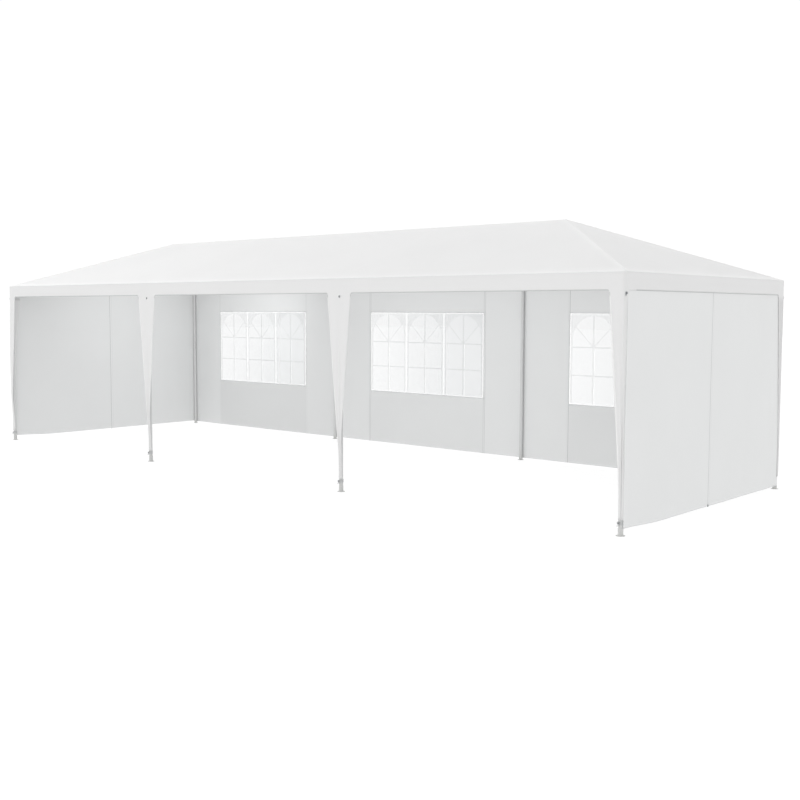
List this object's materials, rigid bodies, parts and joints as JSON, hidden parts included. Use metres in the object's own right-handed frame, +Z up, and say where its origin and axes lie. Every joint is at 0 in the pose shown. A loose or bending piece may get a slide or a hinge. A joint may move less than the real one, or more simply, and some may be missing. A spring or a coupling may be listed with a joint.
{
  "type": "marquee tent",
  "caption": "White hip-roofed party tent: steel tube frame, open front, clear arched-pattern windows in the back walls, plain end walls and tapered leg drapes.",
  "frame": {"origin": "on the ground at the centre of the tent's outline", "axes": "+X along the length, to the right seen from the open front; the open front faces -Y; +Z up"},
  "size_m": [9.0176, 3.0176, 2.5599],
  "materials": {
    "powder_coated_steel": "white powder coat, satin",
    "cover_cloth": "white coated polyethylene cloth, matt",
    "wall_cloth": "white coated polyethylene cloth, matt",
    "clear_film": "clear film with a white printed window pattern"
  },
  "bodies": {
    "root": {"back_wall_1": "wall_cloth", "back_wall_2": "wall_cloth", "back_wall_3": "wall_cloth", "corner_connector_back_left": "powder_coated_steel", "corner_connector_back_right": "powder_coated_steel", "corner_connector_front_left": "powder_coated_steel", "corner_connector_front_right": "powder_coated_steel", "eave_connector_back_left": "powder_coated_steel", "eave_connector_back_right": "powder_coated_steel", "eave_connector_front_left": "powder_coated_steel", "eave_connector_front_right": "powder_coated_steel", "eave_rail_back": "powder_coated_steel", "eave_rail_front": "powder_coated_steel", "eave_rail_left": "powder_coated_steel", "eave_rail_right": "powder_coated_steel", "end_wall_left": "wall_cloth", "end_wall_right": "wall_cloth", "hip_rafter_back_left": "powder_coated_steel", "hip_rafter_back_right": "powder_coated_steel", "hip_rafter_front_left": "powder_coated_steel", "hip_rafter_front_right": "powder_coated_steel", "leg_back_1": "powder_coated_steel", "leg_back_2": "powder_coated_steel", "leg_back_3": "powder_coated_steel", "leg_back_4": "powder_coated_steel", "leg_drape_back_1": "cover_cloth", "leg_drape_back_2": "cover_cloth", "leg_drape_back_3": "cover_cloth", "leg_drape_back_4": "cover_cloth", "leg_drape_front_1": "cover_cloth", "leg_drape_front_2": "cover_cloth", "leg_drape_front_3": "cover_cloth", "leg_drape_front_4": "cover_cloth", "leg_front_1": "powder_coated_steel", "leg_front_2": "powder_coated_steel", "leg_front_3": "powder_coated_steel", "leg_front_4": "powder_coated_steel", "rafter_back_left": "powder_coated_steel", "rafter_back_right": "powder_coated_steel", "rafter_front_left": "powder_coated_steel", "rafter_front_right": "powder_coated_steel", "ridge_end_connector_left": "powder_coated_steel", "ridge_end_connector_right": "powder_coated_steel", "ridge_middle_connector_left": "powder_coated_steel", "ridge_middle_connector_right": "powder_coated_steel", "ridge_pole": "powder_coated_steel", "roof_back": "cover_cloth", "roof_front": "cover_cloth", "roof_left": "cover_cloth", "roof_right": "cover_cloth", "valance_back": "cover_cloth", "valance_front": "cover_cloth", "valance_left": "cover_cloth", "valance_right": "cover_cloth", "window_1": "clear_film", "window_2": "clear_film", "window_3": "clear_film"}
  },
  "joints": []
}
